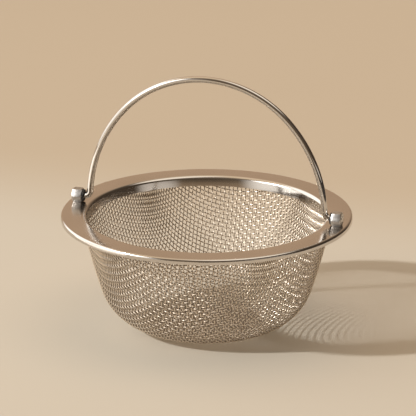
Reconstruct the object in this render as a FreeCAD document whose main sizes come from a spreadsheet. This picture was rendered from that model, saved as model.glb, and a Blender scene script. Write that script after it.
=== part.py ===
import FreeCAD, Part
import math
import os
import Sketcher

# Sink strainer: a woven wire bowl hung from a pressed rim, with a wire bail that swings on two pivots.
# Frame: +Z up, X along the bail's pivot axis, origin under the middle of the bowl, millimetres.

# Driving dimensions: alias, value, meaning
SIZES = [
    ("flange_radius", 67.5, "outer radius of the rim"),
    ("flange_height", 54.0, "top of the rim above the table"),
    ("sheet_thickness", 0.7, "steel sheet of the rim"),
    ("lip_depth", 2.4, "rolled outer edge, from the top of the rim"),
    ("lip_bend_radius", 1.2, "outside radius of the rolled edge"),
    ("rim_width", 12.2, "rim, from its outer edge to the inside of the collar"),
    ("collar_depth", 4.6, "collar, from the top of the rim"),
    ("collar_bend_radius", 1.8, "outside radius of the bend from rim to collar"),
    ("collar_taper", 0.6, "foot of the collar further in than the top of its wall"),
    ("ring_thickness", 0.7, "band of the clamp ring"),
    ("ring_height", 4.2, "height of the clamp ring"),
    ("seat_clearance", 0.1, "clamp ring below the rim"),
    ("wall_lean_angle", 12.0, "lean of the bowl's wall where it leaves the collar"),
    ("wall_bow_radius", 300.0, "upright curve of the bowl's wall"),
    ("bowl_corner_radius", 26.0, "curve from the wall to the floor of the bowl"),
    ("mesh_pitch", 9.4, "distance from one crossing of the wires to the next"),
    ("mesh_wire", 0.6, "width of a mesh wire"),
    ("weave_clearance", 0.05, "room between two wires that cross"),
    ("wire_grip", 2.0, "length of wire held above the lower edge of the collar"),
    ("bail_wire", 3.0, "diameter of the bail's wire"),
    ("bail_standoff", 1.3, "foot of the arch outside the inside of the collar"),
    ("bail_rise", 61.4, "top of the arch above the pivot axis"),
    ("bail_bend_radius", 2.8, "bend from a side of the arch to a pivot end"),
    ("bail_end_reach", 0.3, "pivot end beyond its bush"),
    ("bail_end_chamfer", 0.3, "chamfer on the tip of a pivot end"),
    ("washer_inset", 0.35, "edge of a pivot washer inside the flats of its bush"),
    ("washer_thickness", 0.8, "pivot washer"),
    ("bush_across_flats", 6.2, "hexagonal pivot bush"),
    ("bush_length", 4.6, "hexagonal pivot bush"),
    ("bush_chamfer_angle", 30.0, "corner chamfer of the hexagon"),
    ("pivot_clearance", 0.05, "room round the pivot ends"),
    ("shoulder_clearance", 0.1, "room between a bend of the bail and its washer"),
]

# Chords of each bend in the sheet, and flats of the bail's wire, so that their faces stay few
BEND_STEPS = 3
WIRE_SIDES = 10
# How far the radius of the arch's sides passes half its span, as a share of how far its rise does
BAIL_SIDE_SHARE = 1.74
# Width of a bush's round end face, as a share of the hexagon across its flats
BUSH_FACE_SHARE = 0.95
# Radius of the blank that turns a bush's corners, as a share of the hexagon's corner radius
BUSH_BLANK_SHARE = 1.1
# Room for the mesh between collar and clamp ring, as a share of the width of its wires
MESH_GAP_SHARE = 3
# Shortest tail of a mesh wire beyond its last crossing, as a share of its width
WIRE_TAIL_SHARE = 1.5
# Steps of the search for a crossing, and its smallest change as a share of the pitch
SEARCH_STEPS = 30
SEARCH_SHARE = 1e-5

SIDES = {"left": -1, "right": 1}


# The sheet of sizes
def make_sheet(doc):
    sheet = doc.addObject("Spreadsheet::Sheet", "Sizes")
    for row, (alias, number, meaning) in enumerate(SIZES, start=1):
        sheet.set(f"A{row}", alias)
        sheet.set(f"B{row}", str(number))
        sheet.setAlias(f"B{row}", alias)
        sheet.set(f"C{row}", meaning)
    doc.recompute()
    return sheet


def value(expression):
    """The number that an expression on the sheet's aliases gives."""
    return float(SHEET.evalExpression(expression))


# Places that several pieces share, as expressions on the sheet
PIVOT_HEIGHT = "(Sizes.flange_height + Sizes.bush_across_flats / 2)"
COLLAR_INSIDE = "(Sizes.flange_radius - Sizes.rim_width)"
COLLAR_OUTSIDE = f"({COLLAR_INSIDE} + Sizes.sheet_thickness)"
COLLAR_FOOT = "(Sizes.flange_height - Sizes.collar_depth)"
MESH_GAP = f"({MESH_GAP_SHARE} * Sizes.mesh_wire)"
RING_INSIDE = f"({COLLAR_OUTSIDE} + {MESH_GAP})"
RING_TOP = "(Sizes.flange_height - Sizes.sheet_thickness - Sizes.seat_clearance)"
HALF_SPAN = f"({COLLAR_INSIDE} + Sizes.bail_standoff)"
SIDE_CENTRE = f"({BAIL_SIDE_SHARE} * (Sizes.bail_rise - {HALF_SPAN}))"
SIDE_RADIUS = f"({HALF_SPAN} + {SIDE_CENTRE})"
BEND_REACH = f"({SIDE_RADIUS} + Sizes.bail_bend_radius)"
BEND_END = f"(sqrt({BEND_REACH}^2 - Sizes.bail_bend_radius^2) - {SIDE_CENTRE})"
WASHER_START = f"({BEND_END} + Sizes.shoulder_clearance)"
BUSH_START = f"({WASHER_START} + Sizes.washer_thickness)"
BUSH_END = f"({BUSH_START} + Sizes.bush_length)"
BAIL_END = f"({BUSH_END} + Sizes.bail_end_reach)"
BORE_RADIUS = "(Sizes.bail_wire / 2 + Sizes.pivot_clearance)"


# Sketch helpers
def make_body(doc, label):
    body = doc.addObject("PartDesign::Body", label)
    body.Label = label
    return body


def make_sketch(body, name, plane):
    sketch = body.newObject("Sketcher::SketchObject", name)
    support = next(item for item in body.Origin.OriginFeatures if item.Role == plane)
    sketch.AttachmentSupport = [(support, "")]
    sketch.MapMode = "FlatFace"
    return sketch


def hold(sketch, kind, item, point, expression):
    """Hold a point of the sketch at a distance from its origin along one axis."""
    root = (-1, 1)
    place = (item, point)
    first, second = (root, place) if value(expression) > 0 else (place, root)
    index = sketch.addConstraint(Sketcher.Constraint(kind, *first, *second, abs(value(expression))))
    sign = "" if value(expression) > 0 else "-"
    sketch.setExpression(f"Constraints[{index}]", f"{sign}({expression})")


def outline(sketch, corners):
    """A closed outline of straight lines through corners that are given as expressions."""
    points = [FreeCAD.Vector(value(across), value(up), 0) for across, up in corners]
    for start, end in zip(points, points[1:] + points[:1]):
        sketch.addGeometry(Part.LineSegment(start, end))
    count = len(points)
    for line in range(count):
        sketch.addConstraint(Sketcher.Constraint("Coincident", line, 2, (line + 1) % count, 1))
    for line, (across, up) in enumerate(corners):
        hold(sketch, "DistanceX", line, 1, across)
        hold(sketch, "DistanceY", line, 1, up)


def revolve(body, sketch):
    turned = body.newObject("PartDesign::Revolution", f"{body.Name}_turned")
    turned.Profile = sketch
    turned.ReferenceAxis = (sketch, ["V_Axis"])
    turned.Angle = 360
    return turned


def points_round(across, up, radius, angles):
    """Points about a centre, at angles in degrees."""
    turns = [(f"{radius} * cos({angle} deg)", f"{radius} * sin({angle} deg)") for angle in angles]
    return [(f"({across} + {sideways})", f"({up} + {upwards})") for sideways, upwards in turns]


def bend_points(across, up, radius, start, end):
    """Points round a bend in the sheet, about a centre and between two angles in degrees."""
    angles = [start + (end - start) * step / BEND_STEPS for step in range(BEND_STEPS + 1)]
    return points_round(across, up, radius, angles)


def ring_points(across, up, radius):
    """Points all round a wire's section, with a flat at the top."""
    angles = [90 + (step + 0.5) * 360 / WIRE_SIDES for step in range(WIRE_SIDES)]
    return points_round(across, up, radius, angles)


# The pressed rim: collar, flat flange and rolled lip from one sheet
def rim_flange(doc):
    body = make_body(doc, "rim_flange")
    sketch = make_sketch(body, "rim_section", "XZ_Plane")
    lip_inside = "(Sizes.flange_radius - Sizes.sheet_thickness)"
    lip_foot = "(Sizes.flange_height - Sizes.lip_depth)"
    collar, lip = "Sizes.collar_bend_radius", "Sizes.lip_bend_radius"
    collar_centre = (f"({COLLAR_INSIDE} + {collar})", f"(Sizes.flange_height - {collar})")
    lip_centre = (f"(Sizes.flange_radius - {lip})", f"(Sizes.flange_height - {lip})")
    top = bend_points(*collar_centre, collar, 180, 90) + bend_points(*lip_centre, lip, 90, 0)
    underside = bend_points(*lip_centre, f"({lip} - Sizes.sheet_thickness)", 0, 90)
    underside += bend_points(*collar_centre, f"({collar} - Sizes.sheet_thickness)", 90, 180)
    inner_foot = [(f"({side} - Sizes.collar_taper)", COLLAR_FOOT) for side in (COLLAR_OUTSIDE, COLLAR_INSIDE)]
    outer_foot = [("Sizes.flange_radius", lip_foot), (lip_inside, lip_foot)]
    outline(sketch, inner_foot + top + outer_foot + underside)
    revolve(body, sketch)
    return body


# The band that presses the edge of the mesh against the collar
def clamp_ring(doc):
    body = make_body(doc, "clamp_ring")
    sketch = make_sketch(body, "ring_section", "XZ_Plane")
    outside = f"({RING_INSIDE} + Sizes.ring_thickness)"
    foot = f"({RING_TOP} - Sizes.ring_height)"
    outline(sketch, [(RING_INSIDE, foot), (RING_INSIDE, RING_TOP), (outside, RING_TOP), (outside, foot)])
    revolve(body, sketch)
    return body


# The bail: one wire along two pivot ends, two bends and a three-centred arch
def arch_radius():
    side, rise, span = value(SIDE_RADIUS), value("Sizes.bail_rise"), value(HALF_SPAN)
    return (side**2 - rise**2 - (side - span) ** 2) / (2 * (side - rise))


def bail_path(sketch):
    """Half of the path is worked out on the right and mirrored, then tied together by constraints."""
    side, bend, rise = value(SIDE_RADIUS), value("Sizes.bail_bend_radius"), value("Sizes.bail_rise")
    axis, offset, top = value(PIVOT_HEIGHT), value(SIDE_CENTRE), arch_radius()
    lower = math.asin(bend / (side + bend))
    upper = math.atan2(abs(rise - top), abs(offset))
    normal = FreeCAD.Vector(0, 0, 1)

    def straight(start, end):
        ends = [FreeCAD.Vector(across, axis, 0) for across in (start, end)]
        return sketch.addGeometry(Part.LineSegment(*ends))

    def arc(centre_x, centre_z, radius, start, end):
        circle = Part.Circle(FreeCAD.Vector(centre_x, centre_z, 0), normal, radius)
        return sketch.addGeometry(Part.ArcOfCircle(circle, start, end))

    tip, turn = value(BAIL_END), value(BEND_END)
    quarter = math.pi / 2
    right_end = straight(tip, turn)
    right_bend = arc(turn, axis + bend, bend, math.pi + lower, 3 * quarter)
    right_side = arc(-offset, axis, side, lower, upper)
    crown = arc(0, axis + rise - top, top, upper, math.pi - upper)
    left_side = arc(offset, axis, side, math.pi - upper, math.pi - lower)
    left_bend = arc(-turn, axis + bend, bend, 3 * quarter, 2 * math.pi - lower)
    left_end = straight(-turn, -tip)
    apex = sketch.addGeometry(Part.Point(FreeCAD.Vector(0, axis + rise, 0)), True)

    def tie(kind, *items):
        sketch.addConstraint(Sketcher.Constraint(kind, *items))

    tie("Tangent", right_end, 2, right_bend, 2)
    tie("Tangent", right_bend, 1, right_side, 1)
    tie("Tangent", right_side, 2, crown, 1)
    tie("Tangent", crown, 2, left_side, 1)
    tie("Tangent", left_side, 2, left_bend, 2)
    tie("Tangent", left_bend, 1, left_end, 1)
    tie("Horizontal", right_end)
    tie("Horizontal", left_end)
    tie("PointOnObject", crown, 3, -2)
    tie("PointOnObject", apex, 1, -2)
    tie("PointOnObject", apex, 1, crown)
    tie("Equal", right_bend, left_bend)
    tie("Equal", right_side, left_side)
    hold(sketch, "DistanceX", right_end, 1, BAIL_END)
    hold(sketch, "DistanceX", left_end, 2, f"-{BAIL_END}")
    hold(sketch, "DistanceY", right_end, 1, PIVOT_HEIGHT)
    hold(sketch, "DistanceY", right_side, 3, PIVOT_HEIGHT)
    hold(sketch, "DistanceX", right_side, 3, f"-{SIDE_CENTRE}")
    hold(sketch, "DistanceY", left_side, 3, PIVOT_HEIGHT)
    hold(sketch, "DistanceY", apex, 1, f"({PIVOT_HEIGHT} + Sizes.bail_rise)")
    for item, radius in ((right_bend, "Sizes.bail_bend_radius"), (right_side, SIDE_RADIUS)):
        index = sketch.addConstraint(Sketcher.Constraint("Radius", item, value(radius)))
        sketch.setExpression(f"Constraints[{index}]", radius)


def bail_handle(doc):
    body = make_body(doc, "bail_handle")
    path = make_sketch(body, "bail_path", "XZ_Plane")
    bail_path(path)
    section = make_sketch(body, "bail_section", "YZ_Plane")
    section.setExpression("AttachmentOffset.Base.z", BAIL_END)
    outline(section, ring_points("0", PIVOT_HEIGHT, "(Sizes.bail_wire / 2)"))
    doc.recompute()
    wire = body.newObject("PartDesign::AdditivePipe", "bail_wire")
    wire.Profile = section
    wire.Spine = path
    wire.Transition = "Transformed"
    doc.recompute()
    near = value("Sizes.bail_wire") * SEARCH_SHARE
    tips = []
    for number, edge in enumerate(wire.Shape.Edges, start=1):
        middle = edge.BoundBox.Center
        if edge.BoundBox.XLength < near and abs(abs(middle.x) - value(BAIL_END)) < near:
            tips.append(f"Edge{number}")
    chamfer = body.newObject("PartDesign::Chamfer", "bail_tips")
    chamfer.Base = (wire, tips)
    chamfer.setExpression("Size", "Sizes.bail_end_chamfer")
    return body


# Round pieces that lie along the pivot axis
def lay_on_axis(item, side, start, length):
    """Lay a round piece along X so that it covers a length from start, on the given side."""
    sign = SIDES[side]
    item.Placement.Rotation = FreeCAD.Rotation(FreeCAD.Vector(0, 1, 0), 90)
    inner_end = start if sign > 0 else f"-({start} + {length})"
    item.setExpression("Placement.Base.x", inner_end)
    item.setExpression("Placement.Base.z", PIVOT_HEIGHT)


def cylinder(doc, name, side, start, length, radius):
    item = doc.addObject("Part::Cylinder", f"{side}_{name}")
    item.setExpression("Radius", radius)
    item.setExpression("Height", length)
    lay_on_axis(item, side, start, length)
    return item


def cone(doc, name, side, start, length, inner_radius, outer_radius):
    item = doc.addObject("Part::Cone", f"{side}_{name}")
    low, high = (inner_radius, outer_radius) if SIDES[side] > 0 else (outer_radius, inner_radius)
    item.setExpression("Radius1", low)
    item.setExpression("Radius2", high)
    item.setExpression("Height", length)
    lay_on_axis(item, side, start, length)
    return item


def cut(doc, label, base, tool):
    item = doc.addObject("Part::Cut", label)
    item.Label = label
    item.Base = base
    item.Tool = tool
    return item


def pivot_washer(doc, side):
    length = "Sizes.washer_thickness"
    radius = "(Sizes.bush_across_flats / 2 - Sizes.washer_inset)"
    disc = cylinder(doc, "washer_disc", side, WASHER_START, length, radius)
    bore = cylinder(doc, "washer_bore", side, WASHER_START, length, BORE_RADIUS)
    return cut(doc, f"{side}_washer", disc, bore)


def hex_bush(doc, side):
    """A hexagonal block that stands on one of its flats, turned at its corners and bored for a pivot end."""
    corner = "(Sizes.bush_across_flats / sqrt(3))"
    blank = f"({corner} * {BUSH_BLANK_SHARE})"
    face = f"(Sizes.bush_across_flats / 2 * {BUSH_FACE_SHARE})"
    slope = f"(({blank} - {face}) * tan(Sizes.bush_chamfer_angle * 1deg))"
    length = "Sizes.bush_length"
    prism = doc.addObject("Part::Prism", f"{side}_hexagon")
    prism.Polygon = 6
    prism.setExpression("Circumradius", corner)
    prism.setExpression("Height", length)
    lay_on_axis(prism, side, BUSH_START, length)
    spin = FreeCAD.Rotation(FreeCAD.Vector(0, 0, 1), 90)
    prism.Placement.Rotation = prism.Placement.Rotation.multiply(spin)
    middle = f"({length} - 2 * {slope})"
    turned = doc.addObject("Part::MultiFuse", f"{side}_turned")
    turned.Shapes = [
        cone(doc, "inner_chamfer", side, BUSH_START, slope, face, blank),
        cylinder(doc, "blank", side, f"({BUSH_START} + {slope})", middle, blank),
        cone(doc, "outer_chamfer", side, f"({BUSH_END} - {slope})", slope, blank, face),
    ]
    block = doc.addObject("Part::Common", f"{side}_block")
    block.Base = prism
    block.Tool = turned
    bore = cylinder(doc, "bush_bore", side, BUSH_START, length, BORE_RADIUS)
    return cut(doc, f"{side}_hex_bush", block, bore)


# The woven bowl: a flat plain weave, pressed into a bowl
class Bowl:
    """The middle surface of the mesh, measured along it from the middle of the floor."""

    def __init__(self):
        self.pitch = value("Sizes.mesh_pitch")
        self.wire = value("Sizes.mesh_wire")
        self.room = value("Sizes.weave_clearance")
        self.lean = math.radians(value("Sizes.wall_lean_angle"))
        self.bow = value("Sizes.wall_bow_radius")
        self.corner = value("Sizes.bowl_corner_radius")
        self.top_radius = value(f"{COLLAR_OUTSIDE} + {MESH_GAP} / 2")
        self.foot = value(COLLAR_FOOT)
        self.edge = self.foot + value("Sizes.wire_grip")
        self.floor = self.sway(math.pi / 2) + self.wire / 2
        below_top = self.foot - self.floor + self.bow * math.sin(self.lean)
        self.turn = math.asin((below_top - self.corner) / (self.bow - self.corner))
        wall_inset = self.bow * (math.cos(self.lean) - math.cos(self.turn))
        self.floor_radius = self.top_radius - wall_inset - self.corner * math.cos(self.turn)
        self.corner_end = self.floor_radius + self.corner * (math.pi / 2 - self.turn)
        self.wall_end = self.corner_end + self.bow * (self.turn - self.lean)

    def sway(self, angle):
        """How far a wire leaves the middle surface to clear a wire that crosses it at an angle."""
        lap = self.wire / 2 / math.tan(angle / 2)
        return (self.wire + self.room) / 2 / (1 - 2 * lap / self.pitch)

    def section(self, along):
        """Radius, height and lean from upright of the surface at a distance along it."""
        if along <= self.floor_radius:
            return along, self.floor, math.pi / 2
        if along <= self.corner_end:
            lean = math.pi / 2 - (along - self.floor_radius) / self.corner
            radius = self.floor_radius + self.corner * math.cos(lean)
            return radius, self.floor + self.corner * (1 - math.sin(lean)), lean
        if along <= self.wall_end:
            lean = self.lean + (self.wall_end - along) / self.bow
            radius = self.top_radius - self.bow * (math.cos(self.lean) - math.cos(lean))
            return radius, self.foot - self.bow * (math.sin(lean) - math.sin(self.lean)), lean
        return self.top_radius, self.foot + along - self.wall_end, 0.0

    def point(self, along, azimuth):
        radius, height, _ = self.section(along)
        return FreeCAD.Vector(radius * math.cos(azimuth), radius * math.sin(azimuth), height)

    def normal(self, along, azimuth):
        lean = self.section(along)[2]
        flat = math.cos(lean)
        return FreeCAD.Vector(flat * math.cos(azimuth), flat * math.sin(azimuth), -math.sin(lean))


def next_crossing(bowl, first, second, shared):
    """The place on the bowl that lies one pitch from two crossings, opposite the one that they share."""
    ends = [bowl.point(*first), bowl.point(*second)]
    guess = ends[0] + ends[1] - bowl.point(*shared)
    along, azimuth = first[0] + second[0] - shared[0], math.atan2(guess.y, guess.x)

    def error(along, azimuth):
        place = bowl.point(along, azimuth)
        return [(place - end).Length - bowl.pitch for end in ends]

    step = bowl.pitch * SEARCH_SHARE
    for _ in range(SEARCH_STEPS):
        here = error(along, azimuth)
        up = [(a - b) / step for a, b in zip(error(along + step, azimuth), here)]
        round_step = step / bowl.top_radius
        across = [(a - b) / round_step for a, b in zip(error(along, azimuth + round_step), here)]
        spread = up[0] * across[1] - up[1] * across[0]
        along -= (here[0] * across[1] - here[1] * across[0]) / spread
        azimuth -= (up[0] * here[1] - up[1] * here[0]) / spread
    return along, azimuth


def weave_quarter(bowl):
    """Crossings of one quarter of the mesh, out to the first one past the held edge on each wire."""
    reach = int((bowl.wall_end + bowl.edge - bowl.foot) / bowl.pitch) + 2
    net = {(0, 0): (0.0, math.pi / 4)}
    for n in range(1, reach):
        net[n, 0] = (n * bowl.pitch, 0.0)
        net[0, n] = (n * bowl.pitch, math.pi / 2)
    for i in range(1, reach):
        for j in range(1, reach):
            near = [net.get(place) for place in ((i - 1, j), (i, j - 1), (i - 1, j - 1))]
            if None in near or all(bowl.section(place[0])[1] > bowl.edge for place in near[:2]):
                continue
            net[i, j] = next_crossing(bowl, *near)
    return net


def crossing(bowl, net, i, j):
    """A crossing anywhere on the mesh, mirrored from the quarter, with the bowl's normal there."""
    if (abs(i), abs(j)) not in net:
        return None
    along, azimuth = net[abs(i), abs(j)]
    place, normal = bowl.point(along, azimuth), bowl.normal(along, azimuth)
    for vector in (place, normal):
        vector.x *= -1 if i < 0 else 1
        vector.y *= -1 if j < 0 else 1
    return place, normal


def wires_angle(net, bowl, i, j):
    """The smaller angle between the two wires at a crossing."""
    here = crossing(bowl, net, i, j)[0]
    ways = []
    for pair in (((i - 1, j), (i + 1, j)), ((i, j - 1), (i, j + 1))):
        ends = [crossing(bowl, net, *place) for place in pair]
        start, end = (here if item is None else item[0] for item in ends)
        ways.append(end - start)
    if not all(way.Length for way in ways):
        return math.pi / 2
    angle = ways[0].getAngle(ways[1])
    return min(angle, math.pi - angle)


def wire_line(bowl, net, row, over):
    """Points of one wire's bent centre line, from edge to edge, each with the bowl's normal there."""
    line = []
    held = []
    for place in row:
        found = crossing(bowl, net, *place)
        if found:
            position, normal = found
            sign = over if sum(place) % 2 == 0 else -over
            sway = bowl.sway(wires_angle(net, bowl, *place))
            line.append((position + normal * (sign * sway), normal))
            held.append(position.z <= bowl.edge)
    if not any(held):
        return []
    first = held.index(True)
    last = len(held) - 1 - held[::-1].index(True)
    tails = []
    for inner, outer in ((first, first - 1), (last, last + 1)):
        start, end = line[inner][0], line[outer][0]
        share = (bowl.edge - start.z) / (end.z - start.z)
        share = max(share, WIRE_TAIL_SHARE * bowl.wire / bowl.pitch)
        tails.append((start + (end - start) * share, line[outer][1]))
    return tails[:1] + line[first:last + 1] + tails[1:]


def polygon_face(*corners):
    return Part.Face(Part.makePolygon(corners + corners[:1]))


def square_wire(line, width):
    """A square wire along a bent line, with two of its sides facing in and out of the bowl."""
    points = [point for point, _ in line]
    ways = [(end - start).normalize() for start, end in zip(points, points[1:])]
    faces = []
    last = None
    for before, after, (point, normal) in zip(ways[:1] + ways, ways + ways[-1:], line):
        mitre = (before + after).normalize()
        up = (normal - mitre * normal.dot(mitre)).normalize() * (width / 2)
        across = mitre.cross(up)
        ring = [point + up + across, point + up - across, point - up - across, point - up + across]
        if last is None:
            faces.append(polygon_face(*ring))
        else:
            for n in range(len(ring)):
                faces.append(polygon_face(last[n - 1], last[n], ring[n]))
                faces.append(polygon_face(last[n - 1], ring[n], ring[n - 1]))
        last = ring
    faces.append(polygon_face(*last))
    skin = Part.makeShell(faces)
    skin.sewShape()
    wire = Part.makeSolid(skin)
    return wire if wire.Volume > 0 else wire.reversed()


def mesh_wires(doc, label, bowl, net, along_x):
    reach = max(i for i, _ in net)
    over = 1 if along_x else -1
    wires = []
    for lane in range(-reach, reach + 1):
        row = [(n, lane) if along_x else (lane, n) for n in range(-reach, reach + 1)]
        line = wire_line(bowl, net, row, over)
        if line:
            wires.append(square_wire(line, bowl.wire))
    feature = doc.addObject("Part::Feature", label)
    feature.Label = label
    feature.Shape = Part.makeCompound(wires)
    print(label, len(wires), "wires")
    return feature


# The document
DOC = FreeCAD.newDocument("sink_strainer")
SHEET = make_sheet(DOC)


def main():
    bowl = Bowl()
    net = weave_quarter(bowl)
    pieces = [
        rim_flange(DOC),
        clamp_ring(DOC),
        mesh_wires(DOC, "mesh_warp", bowl, net, True),
        mesh_wires(DOC, "mesh_weft", bowl, net, False),
        bail_handle(DOC),
    ]
    for side in SIDES:
        pieces += [hex_bush(DOC, side), pivot_washer(DOC, side)]
    DOC.recompute()
    for item in DOC.Objects:
        if any(state in item.State for state in ("Invalid", "Error")):
            raise RuntimeError(f"{item.Label} failed: {item.State}")
    for piece in pieces:
        if piece.Shape.isNull() or not piece.Shape.isValid():
            raise RuntimeError(f"{piece.Label} has no valid shape")
    os.makedirs("parts", exist_ok=True)
    for piece in pieces:
        piece.Shape.exportStep(os.path.join("parts", f"{piece.Label}.step"))
        box, count = piece.Shape.BoundBox, len(piece.Shape.Solids)
        size = f"{box.XLength:.2f} x {box.YLength:.2f} x {box.ZLength:.2f} mm"
        print(f"{piece.Label}: {count} solids, {piece.Shape.Volume:.1f} mm3, about {size}")


main()
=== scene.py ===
# %% [markdown]
# # A woven sink strainer, dressed for its picture
# The strainer hangs in a sink's drain: a woven wire bowl under a wide polished rim, with a wire handle on
# top. Its solids come packed from the CAD model and stay as they are. This lesson builds finer pieces
# over them with Blender's own tools, gives each one a finish made of shader nodes, and lights them like a
# product picture.

# %% Load the frame
import math

import bpy
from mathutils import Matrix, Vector


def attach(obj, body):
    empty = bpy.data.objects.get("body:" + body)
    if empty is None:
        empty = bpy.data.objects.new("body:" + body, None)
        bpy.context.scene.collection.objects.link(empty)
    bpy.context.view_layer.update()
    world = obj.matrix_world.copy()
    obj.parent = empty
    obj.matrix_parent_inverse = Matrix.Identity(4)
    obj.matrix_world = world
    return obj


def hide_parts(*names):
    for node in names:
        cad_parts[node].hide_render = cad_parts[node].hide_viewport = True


MM = 0.001

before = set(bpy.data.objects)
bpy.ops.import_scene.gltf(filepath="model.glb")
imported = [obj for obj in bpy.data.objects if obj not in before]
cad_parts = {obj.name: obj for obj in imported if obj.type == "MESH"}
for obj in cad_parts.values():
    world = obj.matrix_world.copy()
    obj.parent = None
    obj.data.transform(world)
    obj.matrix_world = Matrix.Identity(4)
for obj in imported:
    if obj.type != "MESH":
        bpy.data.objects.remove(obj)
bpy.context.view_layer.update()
print("CAD nodes:", sorted(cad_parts))

# %% [markdown]
# ## Working like a person at the screen
# Blender's operators act on whatever is selected, and loading the frame leaves its nodes selected. So
# every piece starts from nothing selected, and inside a piece the parts are picked by their place, as one
# would with a mouse.

# %% Selection helpers
NEAR = 0.01 * MM


def fresh_start():
    """Leave edit mode and deselect everything."""
    if bpy.context.object and bpy.context.object.mode != "OBJECT":
        bpy.ops.object.mode_set(mode="OBJECT")
    bpy.ops.object.select_all(action="DESELECT")


def edit():
    """Open the active piece for editing."""
    bpy.ops.object.mode_set(mode="EDIT")


def pick(kind, test):
    """In edit mode, select the VERT, EDGE or FACE items whose corners all pass the test."""
    bpy.ops.mesh.select_mode(type=kind)
    bpy.ops.mesh.select_all(action="DESELECT")
    bpy.ops.object.mode_set(mode="OBJECT")
    mesh = bpy.context.object.data
    items = {"VERT": mesh.vertices, "EDGE": mesh.edges, "FACE": mesh.polygons}[kind]
    for item in items:
        if kind == "VERT":
            corners = [item.co]
        else:
            corners = [mesh.vertices[number].co for number in item.vertices]
        item.select = all(test(corner) for corner in corners)
    edit()


def out_from_axis(point):
    """Distance from the upright axis of the bowl."""
    return math.hypot(point.x, point.y)


print(f"places count as the same within {NEAR / MM} mm")

# A modifier could stay live, but an applied one leaves plain faces that the next step can pick from.

# %% Finishing helpers
SMOOTH_ANGLE = math.radians(40)


def settle(name, body, nodes, finish, angle=SMOOTH_ANGLE):
    """Name the active piece, place it in its mesh, smooth it, give it a finish and tie it to the CAD."""
    bpy.ops.object.mode_set(mode="OBJECT")
    piece = bpy.context.object
    piece.name = piece.data.name = name
    bpy.ops.object.transform_apply(location=True, rotation=True, scale=True)
    bpy.ops.object.shade_smooth_by_angle(angle=angle)
    piece.data.materials.clear()
    piece.data.materials.append(finish)
    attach(piece, body)
    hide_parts(*nodes)
    triangles = sum(len(face.vertices) - 2 for face in piece.data.polygons)
    print(f"{name}: {triangles} triangles on {body}, stands for {', '.join(nodes)}")


def use_modifier(kind, **settings):
    """Add a modifier to the active piece, set it up and apply it at once."""
    modifier = bpy.context.object.modifiers.new(kind.lower(), kind)
    for key, setting in settings.items():
        setattr(modifier, key, setting)
    bpy.ops.object.modifier_apply(modifier=modifier.name)


print(f"edges under {math.degrees(SMOOTH_ANGLE):.0f} degrees are shaded smooth")

# %% [markdown]
# ## Sums in a shader
# A finish is a little sum over the surface: so much noise, so many fine rings, a bit more roughness here.
# Written out as nodes and links such sums are hard to read. A small class that wraps a socket lets
# Python's own signs add the Math nodes.


# %% A number in a shader
class Value:
    """A socket that carries a number. Sums on it add Math nodes to its finish."""

    def __init__(self, finish, socket):
        self.finish = finish
        self.socket = socket

    def sum_of(self, operation, first, second):
        return self.finish.node("ShaderNodeMath", {"operation": operation}, [first, second])

    def __add__(self, other):
        return self.sum_of("ADD", self, other)

    def __radd__(self, other):
        return self.sum_of("ADD", other, self)

    def __sub__(self, other):
        return self.sum_of("SUBTRACT", self, other)

    def __rsub__(self, other):
        return self.sum_of("SUBTRACT", other, self)

    def __mul__(self, other):
        return self.sum_of("MULTIPLY", self, other)

    def __rmul__(self, other):
        return self.sum_of("MULTIPLY", other, self)

    def __pow__(self, other):
        return self.sum_of("POWER", self, other)

    def __gt__(self, other):
        return self.sum_of("GREATER_THAN", self, other)


print("signs that add a Math node: + - * ** >")

# %% [markdown]
# ## Nodes from one method
# Every other node comes from one method that takes its kind, its settings and what goes into its sockets.
# The short methods after it are the few patterns that this object needs: its own coordinates, noise, a
# soft step, a mix of two colours and a fine relief.


# %% A finish under construction
class Finish:
    """A node material, or the world, under construction."""

    def __init__(self, tree):
        self.tree = tree
        self.tree.nodes.clear()

    def node(self, kind, settings=None, inputs=None, output=0):
        """Make a node, set it up, then fill its sockets with numbers, colours or links. Gives one output."""
        made = self.tree.nodes.new(kind)
        for key, setting in (settings or {}).items():
            setattr(made, key, setting)
        pairs = enumerate(inputs) if isinstance(inputs, list) else (inputs or {}).items()
        for key, given in pairs:
            if isinstance(given, Value):
                self.tree.links.new(given.socket, made.inputs[key])
            else:
                made.inputs[key].default_value = given
        return Value(self, made.outputs[output]) if len(made.outputs) else None

    def place(self):
        """Object coordinates, in metres, the same as the CAD frame."""
        return self.node("ShaderNodeTexCoord", output="Object")

    def axes(self, vector):
        return [self.node("ShaderNodeSeparateXYZ", None, [vector], axis) for axis in ("X", "Y", "Z")]

    def vector(self, x=0.0, y=0.0, z=0.0):
        return self.node("ShaderNodeCombineXYZ", None, [x, y, z])

    def noise(self, vector, scale, detail):
        inputs = {"Vector": vector, "Scale": scale, "Detail": detail}
        return self.node("ShaderNodeTexNoise", None, inputs)

    def between(self, amount, low, high):
        """A colour between two colours, each of them three numbers or a socket."""
        first, second = (end if isinstance(end, Value) else (*end, 1.0) for end in (low, high))
        return self.node("ShaderNodeMix", {"data_type": "RGBA"}, {"Factor": amount, 6: first, 7: second}, 2)

    def fade(self, amount, start, end):
        """Zero at the start, one at the end, and a soft step between."""
        inputs = {"Value": amount, "From Min": start, "From Max": end}
        return self.node("ShaderNodeMapRange", {"interpolation_type": "SMOOTHSTEP"}, inputs)

    def relief(self, height, strength, depth):
        """Tilt the surface where a pattern rises and falls."""
        return self.node("ShaderNodeBump", None, {"Strength": strength, "Distance": depth, "Height": height})


print("patterns at hand:", [name for name in vars(Finish) if not name.startswith("_")])

# %% [markdown]
# ## One surface for every piece
# One Principled shader knows metal, shine and colour, and that is enough for steel, nylon, paint and
# felt. A mix of simpler shaders would do the same with more nodes. So a finish is a function that returns
# what goes into this shader.


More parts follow.
